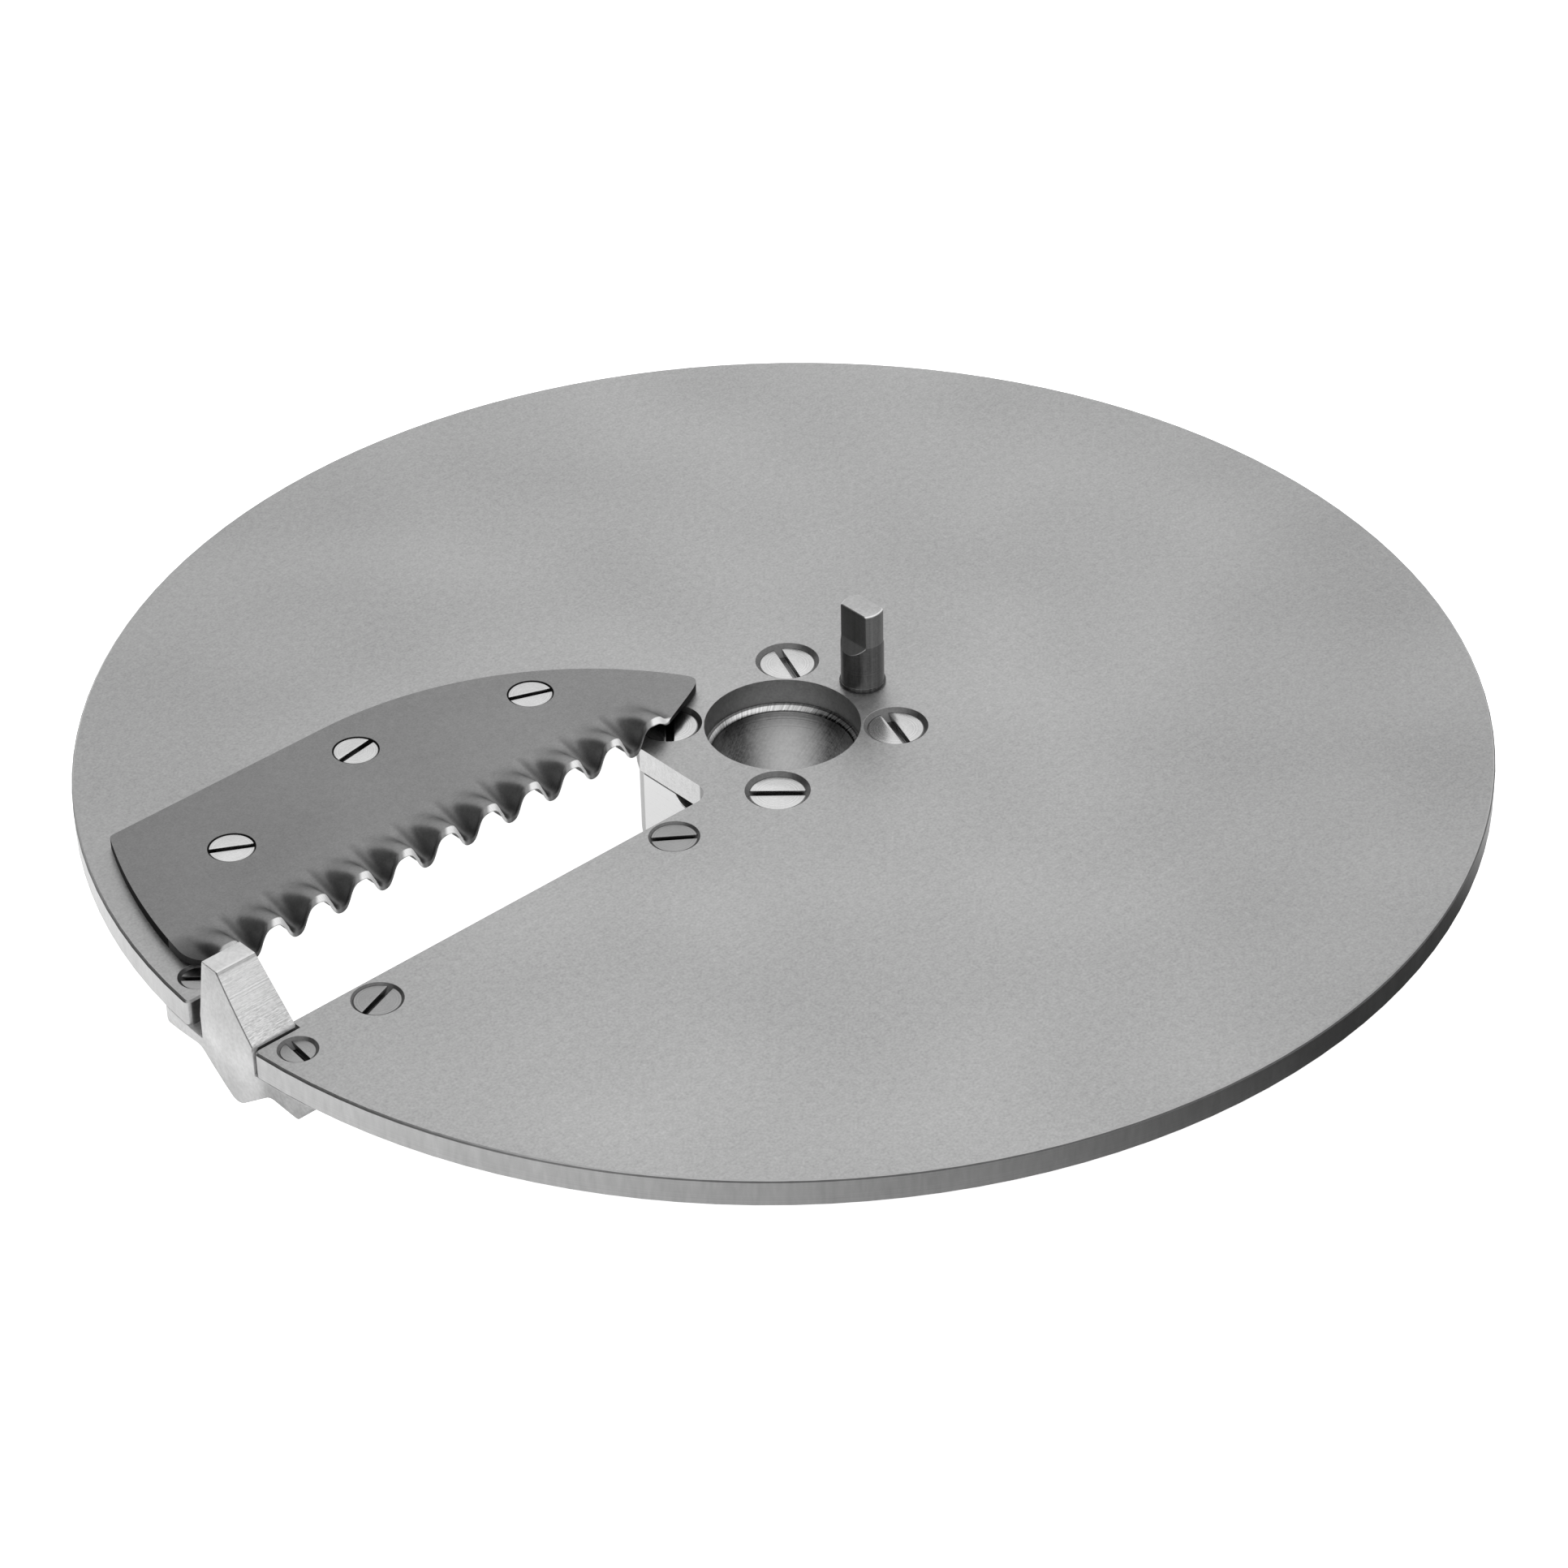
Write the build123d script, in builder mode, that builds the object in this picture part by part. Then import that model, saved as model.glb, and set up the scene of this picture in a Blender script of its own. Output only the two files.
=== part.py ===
"""Waffle cut disc: a steel cutting disc with a wavy blade over a slot that runs out through the rim.

The origin is on the shaft axis at the disc's top face. +Z points up, out of the top face.
+X points from the shaft axis along the slot, and the blade cuts towards +Y.
"""

from build123d import *

import os
from math import cos, radians, sqrt, tan

os.makedirs("parts", exist_ok=True)

# Driving dimensions, in millimetres and degrees

# Disc plate
disc_diameter = 225.0
disc_thickness = 4.4
rim_break = 0.35

# Hub ring, and the step up to the disc's wider bore
hub_diameter = 46.0
hub_height = 14.0
shaft_bore = 23.0
bore_step = 1.0
shaft_lead_in = 0.9
hub_flat_depth = 2.25
relief_radius = 2.8
relief_rise = 1.0
relief_reach = 4.0

# Slot that the slices fall through
slot_front = 6.4
slot_rear = 20.0
slot_rim_band = 8.9
slot_hub_margin = 0.45
slot_end_corner = 3.3
slot_rear_corner = 1.3
slot_corner_side = 1.65

# Notch through the rim, filled by the post of the casting
notch_width = 15.8
notch_corner = 1.0

# Drive pin
pin_offset = 0.25
pin_diameter = 7.0
pin_height = 14.5
pin_flat_width = 3.9
pin_flat_start = 8.4
pin_collar_diameter = 7.5
pin_collar_height = 0.6
pin_foot_gap = 3.0
pin_break = 0.25

# Blade
blade_thickness = 1.8
blade_front = -10.2
blade_depth = 37.6
blade_back_radius = 60.0
blade_arc_reach = 32.0
blade_rim_margin = 4.5
blade_front_corner = 6.0
blade_back_corner = 1.0
blade_tip_radius = 3.2
blade_tip_cut = 6.6
blade_end_lean = 24.7

# Wave of the cutting edge
wave_pitch = 8.4
wave_flank_angle = 50.0
wave_corner = 1.0
wave_run = 7.5
wave_start = 4.8
edge_thickness = 0.15
bevel_drop = 0.35
bevel_width = 0.7

# Bridge casting
post_inset = 0.5
post_back = -4.5
post_crest = -0.8
post_top = 9.2
post_lean = 1.2
lip_rear = -14.7
lip_depth = 3.1
waist = -5.2
waist_depth = 1.8
root = 3.2
root_depth = 8.2
saddle = 10.9
saddle_depth = 2.5
lobe = 16.5
lobe_depth = 3.9
lobe_front = 19.8
cast_corner = 0.7
cast_round = 2.5
bar_hub_gap = 3.0
bar_rim_margin = 4.5
bar_width = 9.8
bar_set_back = 0.8
bar_depth = 4.6
bar_draft = 8.0

# Screws
head_angle = 90.0
hub_thread = 5.0
hub_sink = 10.4
hub_screw_offset = 0.75
hub_screw_recess = 0.6
hub_screw_length = 15.0
hub_driver_slot = 1.3
plate_thread = 4.0
plate_sink = 8.1
plate_screw_rim_margin = 21.4
plate_screw_hub_margin = 9.5
plate_screw_y = 10.7
plate_screw_recess = 0.3
plate_screw_length = 8.0
rim_thread = 3.0
rim_sink = 6.3
rim_screw_margin = 5.5
rim_screw_y = 12.0
rim_screw_recess = 0.4
rim_screw_length = 6.0
blade_thread = 4.0
blade_sink = 7.6
blade_screw_rim_margin = 27.5
blade_screw_hub_margin = 2.0
blade_screw_from_back = 15.4
blade_middle_screw_from_back = 8.3
blade_screw_recess = 0.15
blade_screw_length = 6.0
small_driver_slot = 1.0
driver_slot_depth = 1.1

# Fits
thread_gap = 0.02
seat_gap = 0.02
screw_clearance = 0.25
pin_gap = 0.01
post_gap = 0.1

# Values that follow from the dimensions above
rim_radius = disc_diameter / 2
hub_radius = hub_diameter / 2
shaft_radius = shaft_bore / 2
ring_middle = (hub_radius + shaft_radius) / 2
underside = -disc_thickness
hub_foot = underside - hub_height
far = disc_diameter
slot_end = hub_radius - hub_flat_depth
slot_outer = rim_radius - slot_rim_band
slot_hub_radius = hub_radius + slot_hub_margin
slot_side = sqrt(slot_hub_radius**2 - (slot_rear - slot_corner_side) ** 2)
blade_back = blade_front - blade_depth
blade_arc_x = hub_radius + blade_arc_reach
blade_end = hub_radius - blade_tip_cut
post_inner = slot_outer + post_inset
post_front = notch_width / 2 - post_gap
bar_rear = slot_front + bar_set_back
bar_inner = hub_radius + bar_hub_gap
bar_outer = rim_radius - bar_rim_margin
rim_screw_x = rim_radius - rim_screw_margin
hub_screw_x = (ring_middle + hub_screw_offset) * cos(radians(45))
blade_screw_inner = hub_radius + blade_screw_hub_margin
blade_screw_outer = rim_radius - blade_screw_rim_margin
DOWN = (Align.CENTER, Align.CENTER, Align.MAX)
UP = (Align.CENTER, Align.CENTER, Align.MIN)

hub_screw_spots = [
    (hub_screw_x, hub_screw_x),
    (-hub_screw_x, hub_screw_x),
    (-hub_screw_x, -hub_screw_x),
    (hub_screw_x, -hub_screw_x),
]
plate_screw_spots = [
    (hub_radius + plate_screw_hub_margin, plate_screw_y),
    (rim_radius - plate_screw_rim_margin, plate_screw_y),
]
rim_screw_spots = [(rim_screw_x, -rim_screw_y), (rim_screw_x, rim_screw_y)]
blade_screw_spots = [
    (blade_screw_inner, blade_back + blade_screw_from_back),
    ((blade_screw_inner + blade_screw_outer) / 2, blade_back + blade_middle_screw_from_back),
    (blade_screw_outer, blade_back + blade_screw_from_back),
]
pin_spot = (-ring_middle - pin_offset, 0)


def finish_part(part, name):
    """Name a finished piece and write its file."""
    part.label = name
    export_step(part, f"parts/{name}.step")


# Plan outline of the hub ring: a circle with one flat in line with the end of the slot
with BuildSketch() as hub_outline:
    Circle(hub_radius)
    with Locations((slot_end, 0)):
        Rectangle(
            hub_radius,
            2 * hub_diameter,
            align=(Align.MIN, Align.CENTER),
            mode=Mode.SUBTRACT,
        )

# Plan outline of the slot: its inner end follows the hub's flat, then goes round the hub
with BuildSketch() as slot_outline:
    with Locations((slot_side, -slot_rear)):
        Rectangle(
            slot_outer - slot_side,
            slot_rear + slot_front,
            align=(Align.MIN, Align.MIN),
        )
    with BuildSketch(mode=Mode.PRIVATE) as round_hub:
        Circle(slot_hub_radius)
        with Locations((slot_end, 0)):
            Rectangle(
                hub_radius,
                2 * hub_diameter,
                align=(Align.MIN, Align.CENTER),
                mode=Mode.SUBTRACT,
            )
    add(round_hub.sketch, mode=Mode.SUBTRACT)
    with Locations((slot_end, 0)):
        Rectangle(
            hub_radius,
            hub_radius,
            align=(Align.MAX, Align.MIN),
            mode=Mode.SUBTRACT,
        )
    front_corner = slot_outline.vertices().group_by(Axis.Y)[-1].sort_by(Axis.X)[0]
    fillet(front_corner, slot_end_corner)
    rear_corner = slot_outline.vertices().group_by(Axis.Y)[0].sort_by(Axis.X)[0]
    fillet(rear_corner, slot_rear_corner)

with BuildPart() as disc_plate:
    with BuildSketch():
        Circle(rim_radius)
        Circle(shaft_radius + bore_step, mode=Mode.SUBTRACT)
        add(slot_outline.sketch, mode=Mode.SUBTRACT)
        with Locations((slot_outer, 0)):
            Rectangle(
                rim_radius,
                notch_width,
                align=(Align.MIN, Align.CENTER),
                mode=Mode.SUBTRACT,
            )
    extrude(amount=-disc_thickness)
    notch_corners = disc_plate.edges().filter_by(Axis.Z).group_by(Axis.X)[-1]
    fillet(notch_corners, notch_corner)
    round_edges = disc_plate.edges().filter_by(GeomType.CIRCLE)
    rim_edges = round_edges.filter_by(lambda edge: edge.radius > slot_outer)
    chamfer(rim_edges.group_by(Axis.Z)[-1], rim_break)
    with Locations(*hub_screw_spots):
        CounterSinkHole(
            hub_thread / 2 + screw_clearance,
            hub_sink / 2,
            counter_sink_angle=head_angle,
        )
    with Locations(*plate_screw_spots):
        CounterSinkHole(
            plate_thread / 2 + screw_clearance,
            plate_sink / 2,
            counter_sink_angle=head_angle,
        )
    with Locations(*rim_screw_spots):
        CounterSinkHole(
            rim_thread / 2 + screw_clearance,
            rim_sink / 2,
            counter_sink_angle=head_angle,
        )
    with Locations(*blade_screw_spots):
        Hole(blade_thread / 2 + thread_gap)
    with Locations(pin_spot):
        Hole(pin_diameter / 2 + pin_gap)
finish_part(disc_plate.part, "disc_plate")

with BuildPart() as hub:
    with BuildSketch(Plane.XY.offset(underside)):
        add(hub_outline.sketch)
        Circle(shaft_radius, mode=Mode.SUBTRACT)
    extrude(amount=-hub_height)
    chamfer(hub.faces().sort_by(Axis.Z)[-1].inner_wires().edges(), shaft_lead_in)
    with Locations(*[(x, y, underside) for x, y in hub_screw_spots]):
        Hole(hub_thread / 2 + thread_gap)
    with Locations((*pin_spot, underside)):
        Hole(pin_diameter / 2 + pin_gap)
    with Locations((slot_end - relief_reach, 0, underside + relief_rise)):
        Cylinder(
            relief_radius,
            2 * relief_reach,
            rotation=(0, 90, 0),
            align=UP,
            mode=Mode.SUBTRACT,
        )
finish_part(hub.part, "hub")

with BuildPart() as drive_pin:
    with Locations((*pin_spot, hub_foot + pin_foot_gap)):
        Cylinder(pin_diameter / 2, pin_height - hub_foot - pin_foot_gap, align=UP)
    chamfer(drive_pin.faces().sort_by(Axis.Z)[-1].edges(), pin_break)
    with Locations((*pin_spot, 0)):
        Cylinder(pin_collar_diameter / 2, pin_collar_height, align=UP)
    with BuildSketch(Plane.XZ):
        for side in (-1, 1):
            flat_x = pin_spot[0] + side * pin_flat_width / 2
            outer_x = pin_spot[0] + side * pin_diameter
            with BuildLine():
                Polyline(
                    (flat_x, pin_height),
                    (flat_x, pin_flat_start),
                    (outer_x, pin_flat_start - abs(outer_x - flat_x)),
                    (outer_x, pin_height),
                    close=True,
                )
            make_face()
    extrude(amount=pin_diameter, both=True, mode=Mode.SUBTRACT)
finish_part(drive_pin.part, "drive_pin")

wave_first_crest = hub_radius - wave_start
wave_crests = int((slot_outer - wave_first_crest) / wave_pitch) + 1
flute_half_width = wave_pitch / 4
flute_apex = flute_half_width * tan(radians(wave_flank_angle))
flute_height = flute_apex - wave_corner * (1 / cos(radians(wave_flank_angle)) - 1)
bevel_level = blade_thickness - bevel_drop
hollow_level = bevel_level - edge_thickness


def flutes(side, level, climb):
    """Rounded crests (side 1) or dips (side -1) that run back from ahead of the cutting edge.

    They stand on the given level at the edge, and climb by so much for each millimetre back.
    """
    slant = sqrt(1 + climb**2)
    first = wave_first_crest if side > 0 else wave_first_crest + wave_pitch / 2
    count = wave_crests if side > 0 else wave_crests - 1
    with BuildSketch() as flute:
        with BuildLine():
            Polyline(
                (-flute_half_width, 0),
                (0, side * flute_apex / slant),
                (flute_half_width, 0),
                close=True,
            )
        make_face()
        fillet(flute.vertices().sort_by(Axis.Y)[-1 if side > 0 else 0], wave_corner)
    across = Plane(
        origin=(0, blade_front + flute_apex, level - climb * flute_apex),
        x_dir=(1, 0, 0),
        z_dir=(0, -1, climb),
    )
    with BuildSketch(across) as edge_profile:
        with Locations(*[(first + number * wave_pitch, 0) for number in range(count)]):
            add(flute.sketch)
    return extrude(edge_profile.sketch, amount=(wave_run + flute_apex) * slant)


with BuildSketch() as blade_outline:
    with Locations((blade_arc_x, blade_back + blade_back_radius)):
        Circle(blade_back_radius)
    with Locations((blade_arc_x, blade_back)):
        Rectangle(rim_radius, blade_depth, align=(Align.MIN, Align.MIN))
    Circle(rim_radius - blade_rim_margin, mode=Mode.INTERSECT)
    with Locations((0, blade_front)):
        Rectangle(far, far, align=(Align.CENTER, Align.MIN), mode=Mode.SUBTRACT)
    with Locations((blade_end, blade_front)):
        Rectangle(
            far,
            far,
            rotation=blade_end_lean,
            align=(Align.MAX, Align.MIN),
            mode=Mode.SUBTRACT,
        )
    fillet(blade_outline.vertices().group_by(Axis.Y)[-1].sort_by(Axis.X)[-1], blade_front_corner)
    fillet(blade_outline.vertices().group_by(Axis.Y)[0].sort_by(Axis.X)[-1], blade_back_corner)
    fillet(blade_outline.vertices().sort_by(Axis.X)[0], blade_tip_radius)

# Wedge of air under the blade, where the sheet thins towards its edge
with BuildPart() as underside_wedge:
    with BuildSketch(Plane.YZ):
        with BuildLine():
            Polyline(
                (blade_front - wave_run, 0),
                (blade_front, hollow_level),
                (blade_front, -blade_thickness),
                (blade_back, 0),
                close=True,
            )
        make_face()
    extrude(amount=rim_radius)

with BuildPart() as crests:
    add(flutes(1, blade_thickness, -flute_height / wave_run))
    add(underside_wedge.part, mode=Mode.SUBTRACT)

# Air over the ground bevel, which follows the wave along the edge
bevel_climb = (bevel_drop + bevel_width * flute_height / wave_run) / bevel_width
with BuildPart() as bevel_air:
    with BuildSketch(Plane.YZ):
        with BuildLine():
            Polyline(
                (blade_front, bevel_level),
                (blade_front - bevel_width, bevel_level + bevel_width * bevel_climb),
                (blade_front - bevel_width, blade_thickness + flute_apex),
                (blade_front, blade_thickness + flute_apex),
                close=True,
            )
        make_face()
    extrude(amount=rim_radius)
    add(flutes(1, bevel_level, 0), mode=Mode.SUBTRACT)
    add(flutes(-1, bevel_level, bevel_climb))

with BuildPart() as waffle_blade:
    with BuildSketch():
        add(blade_outline.sketch)
    extrude(amount=blade_thickness)
    add(underside_wedge.part, mode=Mode.SUBTRACT)
    add(flutes(-1, hollow_level, (flute_height - hollow_level) / wave_run))
    with Locations((0, blade_front, blade_thickness)):
        Box(far, far, blade_thickness, align=UP, mode=Mode.SUBTRACT)
    add(crests.part)
    add(flutes(-1, blade_thickness, flute_height / wave_run), mode=Mode.SUBTRACT)
    add(flutes(1, hollow_level, -(flute_height + hollow_level) / wave_run), mode=Mode.SUBTRACT)
    add(bevel_air.part, mode=Mode.SUBTRACT)
    with BuildSketch(Plane.XY.offset(-far / 2)):
        add(blade_outline.sketch)
    extrude(amount=far, mode=Mode.INTERSECT)
    with Locations(*[(x, y, blade_thickness) for x, y in blade_screw_spots]):
        CounterSinkHole(
            blade_thread / 2 + thread_gap,
            blade_sink / 2,
            counter_sink_angle=head_angle,
        )
finish_part(waffle_blade.part, "waffle_blade")

# Room that the casting may fill: the rim's cylinder below the disc's top face, drafted above it
with BuildPart() as casting_room:
    Cylinder(rim_radius, far, align=DOWN)
    Cone(
        rim_radius,
        rim_radius - post_lean,
        post_top,
        align=UP,
    )

with BuildPart() as bridge_casting:
    with BuildSketch(Plane.YZ.offset(post_inner)):
        with BuildLine():
            FilletPolyline(
                (lobe_front, underside),
                (lobe, underside - lobe_depth),
                (saddle, underside - saddle_depth),
                (root, underside - root_depth),
                (waist, underside - waist_depth),
                (lip_rear, underside - lip_depth),
                (lip_rear, underside),
                radius=(cast_corner, cast_round, cast_round, cast_round, cast_corner),
            )
            Polyline(
                (lip_rear, underside),
                (post_back, underside),
                (post_back, post_top),
                (post_crest, post_top),
                (post_front, post_top - (post_front - post_crest)),
                (post_front, underside),
                (lobe_front, underside),
            )
        make_face()
    extrude(amount=rim_radius - post_inner)
    with BuildSketch(Plane.XY.offset(underside)):
        with Locations((bar_inner, bar_rear)):
            Rectangle(
                bar_outer - bar_inner,
                bar_width,
                align=(Align.MIN, Align.MIN),
            )
    extrude(amount=-bar_depth, taper=bar_draft)
    add(casting_room.part, mode=Mode.INTERSECT)
    with Locations(*[(x, y, 0) for x, y in plate_screw_spots]):
        Hole(plate_thread / 2 + thread_gap)
    with Locations(*[(x, y, 0) for x, y in rim_screw_spots]):
        Hole(rim_thread / 2 + thread_gap)
finish_part(bridge_casting.part, "bridge_casting")


def slotted_screw(thread, head, length, driver_slot):
    """Countersunk screw, with the flat of its head at z = 0 and its driver slot along X."""
    with BuildPart() as screw:
        with BuildSketch(Plane.XZ):
            with BuildLine():
                Polyline(
                    (0, 0),
                    (head / 2, 0),
                    (thread / 2, (thread - head) / 2),
                    (thread / 2, -length),
                    (0, -length),
                    close=True,
                )
            make_face()
        revolve(axis=Axis.Z)
        Box(head, driver_slot, 2 * driver_slot_depth, mode=Mode.SUBTRACT)
    return screw.part


def place_screws(name, screw, spots, height, turns):
    """Put one copy of a screw at every spot, each turned as it was tightened."""
    for number, (spot, turn) in enumerate(zip(spots, turns), start=1):
        finish_part(Pos(*spot, height) * Rot(0, 0, turn) * screw, f"{name}_{number}")


def head_size(sink, recess):
    """Head diameter of a screw that sits a recess deep in its countersink."""
    return sink - 2 * (recess + seat_gap)


place_screws(
    "hub_screw",
    slotted_screw(
        hub_thread,
        head_size(hub_sink, hub_screw_recess),
        hub_screw_length,
        hub_driver_slot,
    ),
    hub_screw_spots,
    -hub_screw_recess,
    (137, 70, 68, 48),
)
place_screws(
    "plate_screw",
    slotted_screw(
        plate_thread,
        head_size(plate_sink, plate_screw_recess),
        plate_screw_length,
        small_driver_slot,
    ),
    plate_screw_spots,
    -plate_screw_recess,
    (143, 19),
)
place_screws(
    "rim_screw",
    slotted_screw(
        rim_thread,
        head_size(rim_sink, rim_screw_recess),
        rim_screw_length,
        small_driver_slot,
    ),
    rim_screw_spots,
    -rim_screw_recess,
    (138, 84),
)
place_screws(
    "blade_screw",
    slotted_screw(
        blade_thread,
        head_size(blade_sink, blade_screw_recess),
        blade_screw_length,
        small_driver_slot,
    ),
    blade_screw_spots,
    blade_thickness - blade_screw_recess,
    (158, 8, 150),
)
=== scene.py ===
"""Looks of the waffle cut disc: a satin steel disc with a wavy ground blade, on a pale studio floor.

Everything is in metres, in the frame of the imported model. +X runs along the slot and +Z is up.
"""

import math
from types import SimpleNamespace

import bmesh
import bpy
from mathutils import Matrix, Vector


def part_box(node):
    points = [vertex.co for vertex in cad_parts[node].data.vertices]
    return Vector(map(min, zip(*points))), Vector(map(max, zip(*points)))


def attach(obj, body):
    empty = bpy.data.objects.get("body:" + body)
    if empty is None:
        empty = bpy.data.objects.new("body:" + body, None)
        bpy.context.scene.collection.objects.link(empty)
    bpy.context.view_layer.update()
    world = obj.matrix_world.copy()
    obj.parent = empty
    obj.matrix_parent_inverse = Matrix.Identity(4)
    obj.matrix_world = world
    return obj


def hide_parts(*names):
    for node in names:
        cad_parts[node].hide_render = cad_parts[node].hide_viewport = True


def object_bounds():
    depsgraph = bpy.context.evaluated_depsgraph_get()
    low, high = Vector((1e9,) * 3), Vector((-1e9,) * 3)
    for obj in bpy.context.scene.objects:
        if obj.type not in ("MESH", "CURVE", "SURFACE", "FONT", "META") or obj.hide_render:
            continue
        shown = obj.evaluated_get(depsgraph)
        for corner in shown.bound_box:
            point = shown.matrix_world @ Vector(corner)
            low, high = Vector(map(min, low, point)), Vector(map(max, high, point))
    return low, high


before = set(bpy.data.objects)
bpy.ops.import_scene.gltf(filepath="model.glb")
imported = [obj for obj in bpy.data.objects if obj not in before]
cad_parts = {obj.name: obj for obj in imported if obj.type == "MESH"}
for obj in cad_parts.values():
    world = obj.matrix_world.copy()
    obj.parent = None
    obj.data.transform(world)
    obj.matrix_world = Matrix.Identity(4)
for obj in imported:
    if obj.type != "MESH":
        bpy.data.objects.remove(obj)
cad_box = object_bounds()

mm = 0.001


class Flow:
    """A number that flows through a node tree. It takes the usual signs of arithmetic."""

    def __init__(self, tree, socket):
        self.tree = tree
        self.socket = socket

    def math(self, operation, *others, clamped=False):
        node = self.tree.nodes.new("ShaderNodeMath")
        node.operation = operation
        node.use_clamp = clamped
        for slot, value in zip(node.inputs, (self, *others)):
            feed(self.tree, value, slot)
        return Flow(self.tree, node.outputs[0])

    def __add__(self, other):
        return self.math("ADD", other)

    __radd__ = __add__

    def __sub__(self, other):
        return self.math("SUBTRACT", other)

    def __rsub__(self, other):
        return self.math("MULTIPLY", -1.0) + other

    def __mul__(self, other):
        return self.math("MULTIPLY", other)

    __rmul__ = __mul__

    def __truediv__(self, other):
        return self.math("DIVIDE", other)

    def __neg__(self):
        return self.math("MULTIPLY", -1.0)

    def squared(self):
        return self.math("MULTIPLY", self)

    def root(self):
        return self.math("SQRT")

    def power(self, exponent):
        return self.math("POWER", exponent)

    def at_least(self, other):
        return self.math("MAXIMUM", other)

    def at_most(self, other):
        return self.math("MINIMUM", other)

    def clamped(self):
        return self.math("ADD", 0.0, clamped=True)

    def ramp(self, low, high, smooth=True):
        """0 below the low end, 1 above the high end, and an even or eased climb between them."""
        node = self.tree.nodes.new("ShaderNodeMapRange")
        node.interpolation_type = "SMOOTHSTEP" if smooth else "LINEAR"
        feed(self.tree, self, node.inputs["Value"])
        feed(self.tree, low, node.inputs["From Min"])
        feed(self.tree, high, node.inputs["From Max"])
        return Flow(self.tree, node.outputs["Result"])

    def band(self, low, high, fade_in, fade_out):
        """1 between two ends and 0 outside them, eased over a stretch inside each end."""
        return self.ramp(low, low + fade_in) * (1.0 - self.ramp(high - fade_out, high))


def feed(tree, value, slot):
    """Link a flow or a socket to a slot, or write a plain value in it."""
    if isinstance(value, Flow):
        tree.links.new(value.socket, slot)
    elif isinstance(value, bpy.types.NodeSocket):
        tree.links.new(value, slot)
    else:
        slot.default_value = value


def add_node(tree, kind, settings=None, **slots):
    """Add a node, set its properties and feed its named slots (underscores stand for spaces)."""
    node = tree.nodes.new(kind)
    for name, value in (settings or {}).items():
        setattr(node, name, value)
    for name, value in slots.items():
        feed(tree, value, node.inputs[name.replace("_", " ")])
    return node


def xyz(tree, vector):
    """The three numbers of a vector."""
    node = add_node(tree, "ShaderNodeSeparateXYZ", Vector=vector)
    return [Flow(tree, socket) for socket in node.outputs]


def vector(tree, x=0.0, y=0.0, z=0.0):
    """A vector of three numbers."""
    return add_node(tree, "ShaderNodeCombineXYZ", X=x, Y=y, Z=z).outputs[0]


# Everyday helpers


def new_tree(name, kind, inputs, outputs):
    """A node tree with named inputs and outputs, and the sockets that stand for them inside it."""
    tree = bpy.data.node_groups.new(name, kind)
    for label, (socket_type, value) in inputs.items():
        socket = tree.interface.new_socket(label, in_out="INPUT", socket_type=socket_type)
        if value is not None:
            socket.default_value = value
    for label, socket_type in outputs.items():
        tree.interface.new_socket(label, in_out="OUTPUT", socket_type=socket_type)
    given = tree.nodes.new("NodeGroupInput").outputs
    result = tree.nodes.new("NodeGroupOutput").inputs
    return tree, given, result


def new_growth(name, sizes, others):
    """A geometry tree with an input for each size and each other thing that it needs."""
    inputs = {
        label: ("NodeSocketInt" if isinstance(size, int) else "NodeSocketFloat", size)
        for label, size in sizes.items()
    }
    inputs.update((label, (socket_type, None)) for label, socket_type in others.items())
    inputs["Finish"] = ("NodeSocketMaterial", None)
    tree, given, result = new_tree(
        name, "GeometryNodeTree", inputs, {"Geometry": "NodeSocketGeometry"}
    )
    return tree, given, result, {label: Flow(tree, given[label]) for label in sizes}


def give_out(tree, geometry, given, result):
    """End a geometry tree with plain geometry in its finish."""
    plain = add_node(tree, "GeometryNodeRealizeInstances", Geometry=geometry)
    finished = add_node(
        tree,
        "GeometryNodeSetMaterial",
        Geometry=plain.outputs["Geometry"],
        Material=given["Finish"],
    )
    tree.links.new(finished.outputs["Geometry"], result["Geometry"])


def closed_up(tree, distance, *parts):
    """Several open geometries as one, with the points that meet merged."""
    both = tree.nodes.new("GeometryNodeJoinGeometry")
    for part in parts:
        tree.links.new(part, both.inputs[0])
    merged = add_node(
        tree, "GeometryNodeMergeByDistance", Geometry=both.outputs[0], Distance=distance
    )
    return merged.outputs["Geometry"]


def cut_away(tree, body, cutter):
    """A closed geometry with another one cut out of it."""
    opened = add_node(
        tree, "GeometryNodeMeshBoolean", {"operation": "DIFFERENCE", "solver": "MANIFOLD"}
    )
    tree.links.new(body, opened.inputs["Mesh 1"])
    tree.links.new(cutter, opened.inputs["Mesh 2"])
    return opened.outputs["Mesh"]


def show(name, mesh):
    """Put a mesh in the scene as an object of its own, with its place in its mesh."""
    piece = bpy.data.objects.new(name, mesh)
    bpy.context.scene.collection.objects.link(piece)
    return piece


def settled(piece):
    """Turn a piece with live modifiers into a plain mesh."""
    bpy.context.view_layer.update()
    seen = piece.evaluated_get(bpy.context.evaluated_depsgraph_get())
    mesh = bpy.data.meshes.new_from_object(seen)
    piece.modifiers.clear()
    piece.data = mesh
    mesh.name = piece.name
    return piece


def grown(name, tree, sizes):
    """Make a piece from a geometry tree and its sizes."""
    piece = show(name, bpy.data.meshes.new(name))
    growth = piece.modifiers.new("growth", "NODES")
    growth.node_group = tree
    for socket in tree.interface.items_tree:
        if socket.in_out == "INPUT" and socket.name in sizes:
            growth[socket.identifier] = sizes[socket.name]
    return settled(piece)


def smooth_between_edges(piece, degrees):
    """Shade a piece smooth, but keep the edges that turn by more than an angle."""
    piece.data.polygons.foreach_set("use_smooth", [True] * len(piece.data.polygons))
    piece.data.set_sharp_from_angle(angle=math.radians(degrees))


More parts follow.
